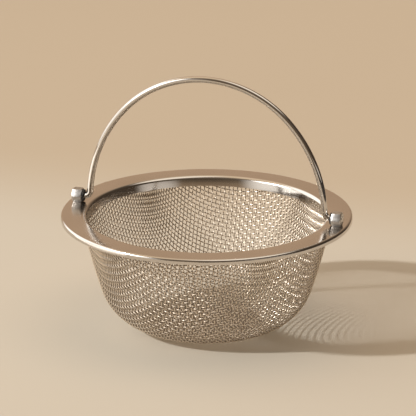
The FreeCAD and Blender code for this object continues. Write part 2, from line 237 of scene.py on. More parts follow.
# %% A new material
def new_finish(name, build):
    """A material whose surface is one Principled shader, with the sockets that build returns."""
    material = bpy.data.materials.new(name)
    material.use_nodes = True
    finish = Finish(material.node_tree)
    surface = finish.node("ShaderNodeBsdfPrincipled", None, build(finish))
    finish.node("ShaderNodeOutputMaterial", None, {"Surface": surface})
    print(f"{name}: {len(material.node_tree.nodes)} nodes")
    return material


print("materials before the first finish:", len(bpy.data.materials))

# %% [markdown]
# ## Polished steel for the rim
# The rim is pressed from sheet and polished on a spindle, so it mirrors the room but keeps faint circular
# marks. An image of scratches would stretch round the bends. Noise that reads the distance from the axis
# and the height gives rings for free, and a second, broad noise stands for the smears of handling.
# Roughness runs from 0 for a mirror to 1 for chalk: here and below it starts from the shine of the metal,
# and each kind of mark adds a little.

# %% The rim's finish
RIM_TOP = 54.0 * MM
STEEL_DARK = (0.60, 0.565, 0.53)
STEEL_LIGHT = (0.70, 0.67, 0.64)
RING_SCALE = 2600.0
RING_DRIFT = 0.4
SMEAR_SCALE = 38.0
RING_STRENGTH = 0.035
RING_DEPTH = 0.1 * MM
TOP_BLEND = 0.1 * MM


def polished_rim_steel(finish):
    x, y, z = finish.axes(finish.place())
    radius = (x * x + y * y) ** 0.5
    rings = finish.noise(finish.vector(radius, z * RING_DRIFT), RING_SCALE, detail=3.0)
    smears = finish.noise(finish.place(), SMEAR_SCALE, detail=4.0)
    flat_top = finish.fade(z, RIM_TOP - TOP_BLEND, RIM_TOP)
    return {
        "Base Color": finish.between(smears, STEEL_DARK, STEEL_LIGHT),
        "Metallic": 1.0,
        "Roughness": 0.05 + 0.05 * flat_top + 0.08 * smears + 0.05 * rings,
        "Normal": finish.relief(rings, RING_STRENGTH, RING_DEPTH),
    }


RIM_STEEL = new_finish("polished_rim_steel", polished_rim_steel)

# %% [markdown]
# ## The rim
# The real rim is one sheet that runs up the collar, out across the flange and down the lip. It could be
# turned from a drawn section. Here it grows the way the press makes it: a ring at the foot of the collar
# is pulled up, out and down, the two corners are bevelled into round bends, and Solidify gives the sheet
# its thickness below.

# %% The rim's sizes
RIM_STEPS = 288
SHEET = 0.7 * MM
RIM_RADIUS = 67.48 * MM
LIP_DEPTH = 2.4 * MM
LIP_BEND = 1.2 * MM
LIP_BEND_STEPS = 8
COLLAR_RADIUS = 55.3 * MM
COLLAR_DEPTH = 4.6 * MM
COLLAR_BEND = 1.8 * MM
COLLAR_BEND_STEPS = 10
COLLAR_TAPER = 0.6 * MM
COLLAR_FOOT = RIM_TOP - COLLAR_DEPTH
COLLAR_LEAN = math.atan(COLLAR_TAPER / (COLLAR_DEPTH - COLLAR_BEND))
COLLAR_SETBACK = COLLAR_BEND * math.tan((math.pi / 2 - COLLAR_LEAN) / 2)
FOOT_RADIUS = COLLAR_RADIUS - COLLAR_TAPER
CORNER_RADIUS = FOOT_RADIUS + COLLAR_DEPTH * math.tan(COLLAR_LEAN)
print(f"rim: {2 * RIM_RADIUS / MM:.2f} mm across, collar leans {math.degrees(COLLAR_LEAN):.1f} degrees")


# %% Build the rim
def bevel_ring(radius, height, offset, segments):
    """Round the ring of edges at a radius and a height."""
    pick("EDGE", lambda point: abs(out_from_axis(point) - radius) < NEAR and abs(point.z - height) < NEAR)
    bpy.ops.mesh.bevel(offset=offset, offset_type="OFFSET", segments=segments, profile=0.5, affect="EDGES")


def widen_ring(radius, wider):
    """Scale the selected ring at the top of the rim about the axis."""
    bpy.ops.transform.resize(value=(wider / radius, wider / radius, 1), center_override=(0, 0, RIM_TOP))


fresh_start()
bpy.ops.mesh.primitive_circle_add(vertices=RIM_STEPS, radius=FOOT_RADIUS, location=(0, 0, COLLAR_FOOT))
bpy.ops.object.transform_apply(location=True)
edit()
bpy.ops.mesh.select_all(action="SELECT")
bpy.ops.mesh.extrude_edges_move(TRANSFORM_OT_translate={"value": (0, 0, COLLAR_DEPTH)})
widen_ring(FOOT_RADIUS, CORNER_RADIUS)
bpy.ops.mesh.extrude_edges_move()
widen_ring(CORNER_RADIUS, RIM_RADIUS)
bpy.ops.mesh.extrude_edges_move(TRANSFORM_OT_translate={"value": (0, 0, -LIP_DEPTH)})
bevel_ring(CORNER_RADIUS, RIM_TOP, COLLAR_SETBACK, COLLAR_BEND_STEPS)
bevel_ring(RIM_RADIUS, RIM_TOP, LIP_BEND, LIP_BEND_STEPS)
# The sheet grew with its faces looking down, and Solidify works from the top.
bpy.ops.mesh.select_all(action="SELECT")
bpy.ops.mesh.flip_normals()
bpy.ops.object.mode_set(mode="OBJECT")
use_modifier("SOLIDIFY", thickness=SHEET, offset=-1.0, use_even_offset=True)
settle("polished_rim", "basket", ["rim_flange"], RIM_STEEL)

# %% [markdown]
# ## The woven bowl
# A flat plain weave was pressed over a bowl-shaped tool. The wires can't stretch, so the squares shear
# into diamonds between the four straight directions, and that is what makes the pattern swirl. A grid
# wrapped round a bowl would look wrong, so the weave is worked out as it is pressed. First comes the
# tool: a flat floor, a round corner and a slightly bowed wall, all from a few sizes.

# %% The bowl's sizes
MESH_PITCH = 2.0 * MM
MESH_WIRE = 0.5 * MM
WEAVE_ROOM = 0.03 * MM
BOWL_TOP_RADIUS = 56.9 * MM
WALL_LEAN = math.radians(12.0)
WALL_BOW = 300.0 * MM
BOWL_CORNER = 26.0 * MM
WIRE_GRIP = 2.0 * MM
SWAY = (MESH_WIRE + WEAVE_ROOM) / 2
FLOOR = SWAY + MESH_WIRE / 2
EDGE = COLLAR_FOOT + WIRE_GRIP
WALL_CENTRE_RADIUS = BOWL_TOP_RADIUS - WALL_BOW * math.cos(WALL_LEAN)
WALL_CENTRE_HEIGHT = COLLAR_FOOT + WALL_BOW * math.sin(WALL_LEAN)
TURN = math.asin((WALL_CENTRE_HEIGHT - FLOOR - BOWL_CORNER) / (WALL_BOW - BOWL_CORNER))
FLOOR_RADIUS = WALL_CENTRE_RADIUS + (WALL_BOW - BOWL_CORNER) * math.cos(TURN)
CORNER_END = FLOOR_RADIUS + BOWL_CORNER * (math.pi / 2 - TURN)
WALL_END = CORNER_END + WALL_BOW * (TURN - WALL_LEAN)
print(f"bowl: floor {FLOOR_RADIUS / MM:.1f} mm in radius, {WALL_END / MM:.1f} mm along to the collar")


# %% Points on the bowl
def bowl_section(along):
    """Radius, height and lean from upright at a distance along the bowl from the middle of its floor."""
    if along <= FLOOR_RADIUS:
        return along, FLOOR, math.pi / 2
    if along <= CORNER_END:
        lean = math.pi / 2 - (along - FLOOR_RADIUS) / BOWL_CORNER
        return FLOOR_RADIUS + BOWL_CORNER * math.cos(lean), FLOOR + BOWL_CORNER * (1 - math.sin(lean)), lean
    if along <= WALL_END:
        lean = WALL_LEAN + (WALL_END - along) / WALL_BOW
        radius = WALL_CENTRE_RADIUS + WALL_BOW * math.cos(lean)
        return radius, WALL_CENTRE_HEIGHT - WALL_BOW * math.sin(lean), lean
    return BOWL_TOP_RADIUS, COLLAR_FOOT + along - WALL_END, 0.0


def on_bowl(along, azimuth):
    """The point at a distance along the bowl and an angle round its axis."""
    radius, height, _ = bowl_section(along)
    return Vector((radius * math.cos(azimuth), radius * math.sin(azimuth), height))


def outwards(along, azimuth):
    """The way out of the bowl at that point."""
    lean = bowl_section(along)[2]
    flat = math.cos(lean)
    return Vector((flat * math.cos(azimuth), flat * math.sin(azimuth), -math.sin(lean)))


print("wall meets the collar at", [round(value / MM, 2) for value in on_bowl(WALL_END, 0.0)])

# %% [markdown]
# ## The mesh's finish
# The hollows where a wire dives under the next one are painted darker, as painted shade where the
# crossing wires shut out the light; the crests keep the steel's own bright colour. Paint by hand would
# miss thousands of crossings. The bowl's own section is known, so the finish can work out how far a point
# lies from the middle of the weave: far out is a crest, close in is a hollow.

# %% Tell crests from hollows
CORNER_TOP = FLOOR + BOWL_CORNER * (1 - math.sin(TURN))
CREST = 0.32 * MM
HOLLOW = 0.05 * MM


def inside_arc(radius, z, centre_radius, centre_height, arc):
    """How far a point lies inside an arc of the bowl's section."""
    across = radius - centre_radius
    up = z - centre_height
    return arc - (across * across + up * up) ** 0.5


def hollow_shade_mask(finish):
    """One on the crests of the weave and zero in its hollows, where the painted shade goes."""
    x, y, z = finish.axes(finish.place())
    radius = (x * x + y * y) ** 0.5
    corner = inside_arc(radius, z, FLOOR_RADIUS, FLOOR + BOWL_CORNER, BOWL_CORNER)
    wall = inside_arc(radius, z, WALL_CENTRE_RADIUS, WALL_CENTRE_HEIGHT, WALL_BOW)
    depth = z - FLOOR
    depth = depth + (corner - depth) * (radius > FLOOR_RADIUS)
    depth = depth + (wall - depth) * (z > CORNER_TOP)
    return finish.fade(depth * depth, HOLLOW**2, CREST**2)


print(f"crests lie {CREST / MM:.2f} mm from the middle of the weave, hollows {HOLLOW / MM:.2f} mm")

# %% Bright crests, painted shade in the hollows
CREST_DARK = (0.85, 0.745, 0.63)
CREST_LIGHT = (0.97, 0.87, 0.755)
# The hollow colour is painted shade, where one wire passes under the next and the light is shut out.
HOLLOW_SHADE = (0.285, 0.235, 0.185)
MESH_GRAIN_SCALE = 1500.0
MESH_PATCH_SCALE = 45.0


def woven_wire_steel(finish):
    place = finish.place()
    grain = finish.noise(place, MESH_GRAIN_SCALE, detail=2.0)
    patches = finish.noise(place, MESH_PATCH_SCALE, detail=3.0)
    crest_steel = finish.between(patches, CREST_DARK, CREST_LIGHT)
    return {
        "Base Color": finish.between(hollow_shade_mask(finish), HOLLOW_SHADE, crest_steel),
        "Metallic": 1.0,
        "Roughness": 0.30 + 0.10 * grain + 0.06 * patches,
    }


MESH_STEEL = new_finish("woven_wire_steel", woven_wire_steel)

# %% [markdown]
# ## Where the wires cross
# Two wires run straight over the middle of the bowl. From there on, each new crossing lies one pitch from
# two known neighbours, because a wire keeps its length, and that fixes its place. A cloth simulation
# could press the weave too, but it would stretch it and take long. Newton's method finds each place in a
# few steps. One quarter is enough, because the other three are its mirror images.

# %% Find one crossing
SEARCH_STEPS = 12
# Each step feels its way with a move of this share of a pitch.
SEARCH_SHARE = 1e-5


def next_crossing(first, second, shared):
    """The place one pitch from two crossings, opposite the one that they share, by Newton's method."""
    ends = [on_bowl(*first), on_bowl(*second)]
    guess = ends[0] + ends[1] - on_bowl(*shared)
    along, azimuth = first[0] + second[0] - shared[0], math.atan2(guess.y, guess.x)
    step = MESH_PITCH * SEARCH_SHARE
    turn = step / BOWL_TOP_RADIUS

    def error(along, azimuth):
        place = on_bowl(along, azimuth)
        return [(place - end).length - MESH_PITCH for end in ends]

    for _ in range(SEARCH_STEPS):
        here = error(along, azimuth)
        up = [(there - now) / step for there, now in zip(error(along + step, azimuth), here)]
        across = [(there - now) / turn for there, now in zip(error(along, azimuth + turn), here)]
        spread = up[0] * across[1] - up[1] * across[0]
        along -= (here[0] * across[1] - here[1] * across[0]) / spread
        azimuth -= (up[0] * here[1] - up[1] * here[0]) / spread
    return along, azimuth


print(f"{SEARCH_STEPS} search steps for each crossing")


# %% Find the crossings of a quarter
def weave_quarter():
    """Crossings of one quarter of the mesh, out to the first one past the held edge on each wire."""
    reach = int((WALL_END + WIRE_GRIP) / MESH_PITCH) + 2
    net = {(0, 0): (0.0, math.pi / 4)}
    for n in range(1, reach):
        net[n, 0] = (n * MESH_PITCH, 0.0)
        net[0, n] = (n * MESH_PITCH, math.pi / 2)
    for i in range(1, reach):
        for j in range(1, reach):
            near = [net.get(place) for place in ((i - 1, j), (i, j - 1), (i - 1, j - 1))]
            if None in near or all(bowl_section(place[0])[1] > EDGE for place in near[:2]):
                continue
            net[i, j] = next_crossing(*near)
    return net


NET = weave_quarter()
REACH = max(i for i, _ in NET)
LANES = range(-REACH, REACH + 1)
print(f"crossings in a quarter of the mesh: {len(NET)}, on {len(LANES)} lanes each way")

# %% [markdown]
# ## Over and under
# At its crossings a wire swings outwards over one neighbour and inwards under the next. Where the wires
# lie close to parallel, near the four diagonals, they need a little more room to pass. A curve of order 3
# stays half-way to its control points, so the control points swing twice as far as the wire does.

# %% Any crossing of the mesh
def crossing(i, j):
    """A crossing anywhere on the mesh, mirrored from the quarter, with the bowl's outward direction there."""
    if (abs(i), abs(j)) not in NET:
        return None
    spot = NET[abs(i), abs(j)]
    place, out = on_bowl(*spot), outwards(*spot)
    for vector in (place, out):
        vector.x *= -1 if i < 0 else 1
        vector.y *= -1 if j < 0 else 1
    return place, out


def wires_angle(i, j):
    """The smaller angle between the two wires at a crossing."""
    here = crossing(i, j)[0]
    ways = []
    for pair in (((i - 1, j), (i + 1, j)), ((i, j - 1), (i, j + 1))):
        ends = [crossing(*place) for place in pair]
        start, end = (here if found is None else found[0] for found in ends)
        ways.append(end - start)
    if min(way.length for way in ways) < NEAR:
        return math.pi / 2
    angle = ways[0].angle(ways[1])
    return min(angle, math.pi - angle)


narrowest = min(wires_angle(*place) for place in NET)
print(f"narrowest angle between two wires: {math.degrees(narrowest):.0f} degrees")

# %% Lay out one wire
CROWDING = 0.35


def wire_points(row, over):
    """Control points of one wire, out to the first one past the held edge at both ends."""
    points, held = [], []
    for place in row:
        found = crossing(*place)
        if found:
            position, out = found
            side = over if sum(place) % 2 == 0 else -over
            swing = 2 * SWAY / math.sin(wires_angle(*place)) ** CROWDING
            points.append(position + out * (side * swing))
            held.append(position.z <= EDGE)
    if not any(held):
        return []
    first = held.index(True)
    last = len(held) - 1 - held[::-1].index(True)
    return points[max(first - 1, 0):last + 2]


middle_wire = wire_points([(n, 0) for n in LANES], 1)
print("control points of the middle wire:", len(middle_wire))

# %% [markdown]
# ## Wire from a curve
# A round bevel along a curve is the quickest way to draw wire, and one curve object can hold all the
# wires that run one way. Extruding each wire's section by hand would take thousands of steps. The curve
# is then made a mesh, with few sides and short spans, because each wire is only about one pixel wide.

# %% Run the wires
WIRE_ROUNDNESS = 1
SPAN_STEPS = 2
CURVE_ORDER = 3
SHORTEST_WIRE = 4
WIRE_SMOOTH_ANGLE = math.radians(80)


def add_wire(curve, points):
    """One more wire on a curve, drawn towards its control points."""
    wire = curve.splines.new("NURBS")
    wire.points.add(len(points) - 1)
    for control, point in zip(wire.points, points):
        control.co = (*point, 1.0)
    wire.order_u = CURVE_ORDER
    wire.use_endpoint_u = True
    wire.use_smooth = True


def weave(name, node, along_x):
    """All the wires that run one way, as one curve object that is then made a mesh."""
    fresh_start()
    curve = bpy.data.curves.new(name, "CURVE")
    curve.dimensions = "3D"
    curve.bevel_depth = MESH_WIRE / 2
    curve.bevel_resolution = WIRE_ROUNDNESS
    curve.use_fill_caps = True
    curve.resolution_u = SPAN_STEPS
    for lane in LANES:
        row = [(n, lane) if along_x else (lane, n) for n in LANES]
        points = wire_points(row, 1 if along_x else -1)
        if len(points) >= SHORTEST_WIRE:
            add_wire(curve, points)
    mesh = bpy.data.objects.new(name, curve)
    bpy.context.collection.objects.link(mesh)
    mesh.select_set(True)
    bpy.context.view_layer.objects.active = mesh
    bpy.ops.object.convert(target="MESH")
    print(name, "wires:", len(curve.splines))
    settle(name, "basket", [node], MESH_STEEL, WIRE_SMOOTH_ANGLE)


weave("woven_warp", "mesh_warp", True)
weave("woven_weft", "mesh_weft", False)

# %% [markdown]
# ## Drawn wire for the handle
# The handle is drawn wire that was polished after bending, so it shines almost like the rim, with a fine
# grain from the drawing. A plain mirror would look like glass. Two noises, one fine and one broad, keep
# the shine alive.

# %% The handle's finish
WIRE_GRAIN_SCALE = 900.0
WIRE_SMEAR_SCALE = 60.0
WIRE_GRAIN_STRENGTH = 0.02
GRAIN_DEPTH = 0.05 * MM


def drawn_wire_steel(finish):
    place = finish.place()
    grain = finish.noise(place, WIRE_GRAIN_SCALE, detail=3.0)
    smears = finish.noise(place, WIRE_SMEAR_SCALE, detail=2.0)
    return {
        "Base Color": finish.between(smears, STEEL_DARK, STEEL_LIGHT),
        "Metallic": 1.0,
        "Roughness": 0.03 + 0.05 * grain + 0.03 * smears,
        "Normal": finish.relief(grain, WIRE_GRAIN_STRENGTH, GRAIN_DEPTH),
    }


BAIL_STEEL = new_finish("drawn_wire_steel", drawn_wire_steel)

# %% [markdown]
# ## The handle
# The handle is one bent wire: a straight pivot end, a tight bend, a long side, a crown, and the same
# again. A curve with a bevel would do, but its rings crowd at the bends. Spinning the wire's round
# section about each arc's own centre is what the bending tool does, and it keeps the section true.

# %% The handle's sizes
BAIL_WIRE = 3.0 * MM
BAIL_SIDES = 28
BAIL_BEND = 2.8 * MM
BAIL_RISE = 61.3 * MM
BAIL_SPAN = 56.6 * MM
SIDE_FULLNESS = 1.74
PIVOT_RISE = 3.1 * MM
PIVOT_LENGTH = 5.8 * MM
END_ROUNDING = 0.3 * MM
END_STEPS = 3
BEND_STEPS, SIDE_STEPS, CROWN_STEPS = 12, 28, 64
SIDE_CENTRE = SIDE_FULLNESS * (BAIL_RISE - BAIL_SPAN)
SIDE_RADIUS = BAIL_SPAN + SIDE_CENTRE
CROWN_RADIUS = (SIDE_RADIUS**2 - BAIL_RISE**2 - SIDE_CENTRE**2) / (2 * (SIDE_RADIUS - BAIL_RISE))
PIVOT_HEIGHT = RIM_TOP + PIVOT_RISE
BEND_LOW = math.asin(BAIL_BEND / (SIDE_RADIUS + BAIL_BEND))
SIDE_HIGH = math.atan2(BAIL_RISE - CROWN_RADIUS, SIDE_CENTRE)
BEND_END = math.sqrt((SIDE_RADIUS + BAIL_BEND) ** 2 - BAIL_BEND**2) - SIDE_CENTRE
BAIL_END = BEND_END + PIVOT_LENGTH
BEND_ANGLE = math.pi / 2 - BEND_LOW
SIDE_ANGLE = SIDE_HIGH - BEND_LOW
CROWN_ANGLE = math.pi - 2 * SIDE_HIGH
print(f"handle: side radius {SIDE_RADIUS / MM:.1f} mm, crown radius {CROWN_RADIUS / MM:.1f} mm")


# %% Bend the wire
def spin_section(centre_x, centre_z, angle, steps):
    """Carry the selected ring round an arc in the upright plane. The tool counts angles the other way."""
    bpy.ops.mesh.spin(steps=steps, angle=-angle, center=(centre_x, 0, centre_z), axis=(0, 1, 0), dupli=False)


fresh_start()
bpy.ops.mesh.primitive_circle_add(
    vertices=BAIL_SIDES,
    radius=BAIL_WIRE / 2,
    location=(-BAIL_END, 0, PIVOT_HEIGHT),
    rotation=(0, math.pi / 2, 0),
)
bpy.ops.object.transform_apply(location=True, rotation=True)
edit()
bpy.ops.mesh.select_all(action="SELECT")
bpy.ops.mesh.extrude_edges_move(TRANSFORM_OT_translate={"value": (PIVOT_LENGTH, 0, 0)})
spin_section(-BEND_END, PIVOT_HEIGHT + BAIL_BEND, -BEND_ANGLE, BEND_STEPS)
spin_section(SIDE_CENTRE, PIVOT_HEIGHT, SIDE_ANGLE, SIDE_STEPS)
spin_section(0, PIVOT_HEIGHT + BAIL_RISE - CROWN_RADIUS, CROWN_ANGLE, CROWN_STEPS)
spin_section(-SIDE_CENTRE, PIVOT_HEIGHT, SIDE_ANGLE, SIDE_STEPS)
spin_section(BEND_END, PIVOT_HEIGHT + BAIL_BEND, -BEND_ANGLE, BEND_STEPS)
bpy.ops.mesh.extrude_edges_move(TRANSFORM_OT_translate={"value": (PIVOT_LENGTH, 0, 0)})
for side in (-1, 1):
    pick("VERT", lambda point: abs(point.x - side * BAIL_END) < NEAR)
    bpy.ops.mesh.edge_face_add()
    pick("EDGE", lambda point: abs(point.x - side * BAIL_END) < NEAR)
    bpy.ops.mesh.bevel(offset=END_ROUNDING, segments=END_STEPS, affect="EDGES")
bpy.ops.mesh.select_all(action="SELECT")
bpy.ops.mesh.normals_make_consistent(inside=False)
settle("bent_handle", "bail", ["bail_handle"], BAIL_STEEL)
print("handle reaches", [round(value / MM, 2) for value in bpy.context.object.dimensions])

# %% [markdown]
# ## Bar for the bushes
# The bushes are cut from bar. They keep fine marks of the tool and many small scuffs, paler and duller
# than the metal round them. An even grey would look moulded. One noise is squeezed along the bush for the
# tool marks, and a second one gives the scuffs.

# %% The bushes' finish
BAR_DARK = (0.31, 0.295, 0.28)
BAR_LIGHT = (0.70, 0.69, 0.68)
TOOL_SCALE = 3500.0
TOOL_STRETCH = 0.05
SCUFF_SCALE = 700.0
BAR_STRENGTH = 0.12


def turned_bar_steel(finish):
    place = finish.place()
    x, y, z = finish.axes(place)
    tool = finish.noise(finish.vector(x, y * TOOL_STRETCH, z * TOOL_STRETCH), TOOL_SCALE, detail=2.0)
    scuffs = finish.noise(place, SCUFF_SCALE, detail=4.0)
    return {
        "Base Color": finish.between(scuffs, BAR_DARK, BAR_LIGHT),
        "Metallic": 1.0,
        "Roughness": 0.18 + 0.24 * scuffs + 0.06 * tool,
        "Normal": finish.relief(tool + scuffs, BAR_STRENGTH, GRAIN_DEPTH),
    }


BUSH_STEEL = new_finish("turned_bar_steel", turned_bar_steel)

# %% [markdown]
# ## Strip for the band
# The band under the rim is rolled strip that nobody polished, because nobody sees it. The rolls leave
# long fine lines round the band. The rim's finish would be too bright here. Noise that changes quickly in
# height and slowly round the band draws these lines.

# %% The band's finish
STRIP_DARK = (0.50, 0.48, 0.46)
STRIP_LIGHT = (0.60, 0.58, 0.56)
ROLL_SCALE = 4000.0
ROLL_STRETCH = 0.02
STRIP_PATCH_SCALE = 80.0
STRIP_STRENGTH = 0.10


def plain_strip_steel(finish):
    place = finish.place()
    x, y, z = finish.axes(place)
    rolled = finish.noise(finish.vector(z, ROLL_STRETCH * x, ROLL_STRETCH * y), ROLL_SCALE, detail=3.0)
    patches = finish.noise(place, STRIP_PATCH_SCALE, detail=2.0)
    return {
        "Base Color": finish.between(patches, STRIP_DARK, STRIP_LIGHT),
        "Metallic": 1.0,
        "Roughness": 0.28 + 0.14 * rolled,
        "Normal": finish.relief(rolled, STRIP_STRENGTH, GRAIN_DEPTH),
    }


STRIP_STEEL = new_finish("plain_strip_steel", plain_strip_steel)

# %% [markdown]
# ## Nylon for the washers
# The washers are moulded from black nylon, so that steel never rubs on steel. Flat black would swallow
# their shape. A fine grain, as the mould leaves it, gives the edges a faint shine.

# %% The washers' finish
NYLON_DARK = (0.008, 0.008, 0.009)
NYLON_LIGHT = (0.022, 0.021, 0.020)
NYLON_GRAIN_SCALE = 2500.0
NYLON_STRENGTH = 0.15


def black_nylon(finish):
    grain = finish.noise(finish.place(), NYLON_GRAIN_SCALE, detail=3.0)
    return {
        "Base Color": finish.between(grain, NYLON_DARK, NYLON_LIGHT),
        "Roughness": 0.42 + 0.2 * grain,
        "Normal": finish.relief(grain, NYLON_STRENGTH, GRAIN_DEPTH),
    }


NYLON = new_finish("black_nylon", black_nylon)

# %% [markdown]
# ## Bushes, washers and the band
# These are right in the CAD model, but its triangles are loose and flat. A copy is merged into real
# faces, its edges are rounded a little so that they catch the light, and its round walls are smoothed.
# The CAD node itself is left alone and only hidden.

# %% Round the small pieces
MERGE_DISTANCE = 0.001 * MM
FLAT_ANGLE = math.radians(0.5)
SHARP_ANGLE = math.radians(20)
BUSH_ROUNDING = 0.12 * MM
WASHER_ROUNDING = 0.15 * MM
BAND_ROUNDING = 0.1 * MM
ROUNDING_STEPS = 3
BAND_ROUNDING_STEPS = 2


def rounded_copy(node, name, finish, rounding, segments=ROUNDING_STEPS):
    """Copy a CAD node, merge its triangles into faces and round its edges."""
    fresh_start()
    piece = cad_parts[node].copy()
    piece.data = piece.data.copy()
    # The labels of the CAD node belong to the node alone.
    for key in list(piece.keys()):
        del piece[key]
    piece.parent = None
    bpy.context.collection.objects.link(piece)
    piece.select_set(True)
    bpy.context.view_layer.objects.active = piece
    edit()
    bpy.ops.mesh.select_all(action="SELECT")
    bpy.ops.mesh.remove_doubles(threshold=MERGE_DISTANCE)
    bpy.ops.mesh.dissolve_limited(angle_limit=FLAT_ANGLE)
    bpy.ops.object.mode_set(mode="OBJECT")
    use_modifier("BEVEL", width=rounding, segments=segments, limit_method="ANGLE", angle_limit=SHARP_ANGLE)
    settle(name, "basket", [node], finish)


for hand in ("left", "right"):
    rounded_copy(f"{hand}_hex_bush", f"{hand}_bush", BUSH_STEEL, BUSH_ROUNDING)
    rounded_copy(f"{hand}_washer", f"{hand}_nylon_washer", NYLON, WASHER_ROUNDING)
rounded_copy("clamp_ring", "clamp_band", STRIP_STEEL, BAND_ROUNDING, BAND_ROUNDING_STEPS)

# %% [markdown]
# ## The floor
# The strainer stands on a plain sand-coloured floor, painted darker and warmer behind it as painted shade
# where the light falls off. A photographer would use a painted board. A wide plane with two broad tones
# and a soft step between them does the same. The paint is fully matt, so that no light leaves a shine on it.

# %% Lay the floor
FLOOR_SIDE = 6.0
SAND_NEAR_DARK, SAND_NEAR_LIGHT = (0.431, 0.400, 0.344), (0.457, 0.425, 0.366)
# The far colours are painted shade: darker and warmer where the light falls off behind the strainer.
SAND_FAR_SHADED_DARK, SAND_FAR_SHADED_LIGHT = (0.385, 0.327, 0.253), (0.407, 0.348, 0.270)
SHADE_FALLOFF_START, SHADE_FALLOFF_END = 0.10, 0.24
CLOUD_SCALE = 3.0
PAINT_GRAIN_SCALE = 900.0
PAINT_STRENGTH = 0.03


def sand_floor(finish):
    place = finish.place()
    clouds = finish.noise(place, CLOUD_SCALE, detail=3.0)
    grain = finish.noise(place, PAINT_GRAIN_SCALE, detail=2.0)
    near = finish.between(clouds, SAND_NEAR_DARK, SAND_NEAR_LIGHT)
    far = finish.between(clouds, SAND_FAR_SHADED_DARK, SAND_FAR_SHADED_LIGHT)
    _, y, _ = finish.axes(place)
    return {
        "Base Color": finish.between(finish.fade(y, SHADE_FALLOFF_START, SHADE_FALLOFF_END), near, far),
        "Specular IOR Level": 0.0,
        "Roughness": 0.75 + 0.1 * grain,
        "Normal": finish.relief(grain, PAINT_STRENGTH, GRAIN_DEPTH),
    }


fresh_start()
bpy.ops.mesh.primitive_plane_add(size=FLOOR_SIDE)
floor = bpy.context.object
floor.name = "floor"
floor.data.materials.append(new_finish("sand_floor", sand_floor))

# %% [markdown]
# ## A dark cloth
# On a pale ground, the pale edge of a polished wire is lost. A photographer lays a dark cloth beside the
# object, out of the picture, and turns its far edge up, so that the steel has something dark to show
# along one side. This cloth hides from the camera and casts no shadow: only reflections find it.

# %% Lay the dark cloth
CLOTH_NEAR = 0.45
CLOTH_FAR = 2.0
CLOTH_LIFT = 0.5 * MM
CLOTH_EDGE = 0.13
CLOTH_START, CLOTH_END = math.radians(-78), math.radians(60)
CLOTH_SIDES = 72
FELT_DARK, FELT_LIGHT = (0.010, 0.009, 0.008), (0.024, 0.021, 0.018)
NAP_SCALE = 400.0


def dark_felt(finish):
    nap = finish.noise(finish.place(), NAP_SCALE, detail=3.0)
    return {
        "Base Color": finish.between(nap, FELT_DARK, FELT_LIGHT),
        "Roughness": 0.9 + 0.1 * nap,
    }


fresh_start()
bpy.ops.mesh.primitive_circle_add(vertices=CLOTH_SIDES, radius=CLOTH_NEAR, location=(0, 0, CLOTH_LIFT))
bpy.ops.object.transform_apply(location=True)
edit()
bpy.ops.mesh.select_all(action="SELECT")
bpy.ops.mesh.extrude_edges_move()
bpy.ops.transform.resize(value=(CLOTH_FAR / CLOTH_NEAR, CLOTH_FAR / CLOTH_NEAR, 1))
bpy.ops.mesh.extrude_edges_move(TRANSFORM_OT_translate={"value": (0, 0, CLOTH_EDGE)})
pick("FACE", lambda point: not CLOTH_START < math.atan2(point.y, point.x) < CLOTH_END)
bpy.ops.mesh.delete(type="FACE")
bpy.ops.object.mode_set(mode="OBJECT")
cloth = bpy.context.object
cloth.name = "dark_cloth"
cloth.data.materials.append(new_finish("dark_felt", dark_felt))
cloth.visible_camera = cloth.visible_diffuse = cloth.visible_shadow = cloth.visible_transmission = False
print("dark cloth faces:", len(cloth.data.polygons))

# %% [markdown]
# ## The camera
# The rim's ellipse tells how high the camera stands, and the places of the two bushes tell how far it is
# turned. The lines of the strainer hardly converge, so it is seen from afar through a long lens. The lens
# is worked out from its focal length in pixels, because that is what fitting a picture gives.

# %% Place the camera
CAMERA_AZIMUTH = math.radians(16.88)
CAMERA_ELEVATION = math.radians(18.30)
CAMERA_DISTANCE = 2.5
CAMERA_TARGET = Vector((0.583, 0.177, 56.5)) * MM
CAMERA_REACH = 50.0
SENSOR = 36.0
FOCAL_PIXELS = 5408.0
PICTURE_PIXELS = 416.0

towards_camera = Vector((
    math.sin(CAMERA_AZIMUTH) * math.cos(CAMERA_ELEVATION),
    -math.cos(CAMERA_AZIMUTH) * math.cos(CAMERA_ELEVATION),
    math.sin(CAMERA_ELEVATION),
))
fresh_start()
bpy.ops.object.camera_add(location=CAMERA_TARGET + towards_camera * CAMERA_DISTANCE)
camera = bpy.context.object
camera.rotation_euler = (-towards_camera).to_track_quat("-Z", "Y").to_euler()
camera.data.sensor_width = SENSOR
camera.data.lens = FOCAL_PIXELS * SENSOR / PICTURE_PIXELS
camera.data.clip_end = CAMERA_REACH
bpy.context.scene.camera = camera
print(f"camera: lens {camera.data.lens:.0f} mm at {CAMERA_DISTANCE} m")

# %% [markdown]
# ## Low daylight
# Low daylight from the left gives the clear shadow. A lamp on a stand would make the shadow spread, so a
# sun is used, whose rays are parallel. A wide panel on the same side softens the shadow's edge.

# %% Helpers for the lights
MIDDLE = (0.0, 0.0, 0.0)


def new_light(name, kind, place, target, power, colour):
    """A light at a place, turned to face its target."""
    fresh_start()
    bpy.ops.object.light_add(type=kind, location=place)
    light = bpy.context.object
    light.name = name
    light.data.energy = power
    light.data.color = colour
    light.rotation_euler = (Vector(target) - Vector(place)).to_track_quat("-Z", "Y").to_euler()
    print(f"{name}: power {power}")
    return light


def new_panel(name, place, target, sides, power, colour):
    """A rectangle that glows on the side of its target."""
    panel = new_light(name, "AREA", place, target, power, colour)
    panel.data.shape = "RECTANGLE"
    panel.data.size, panel.data.size_y = sides
    return panel


print("lights before the daylight:", len(bpy.data.lights))

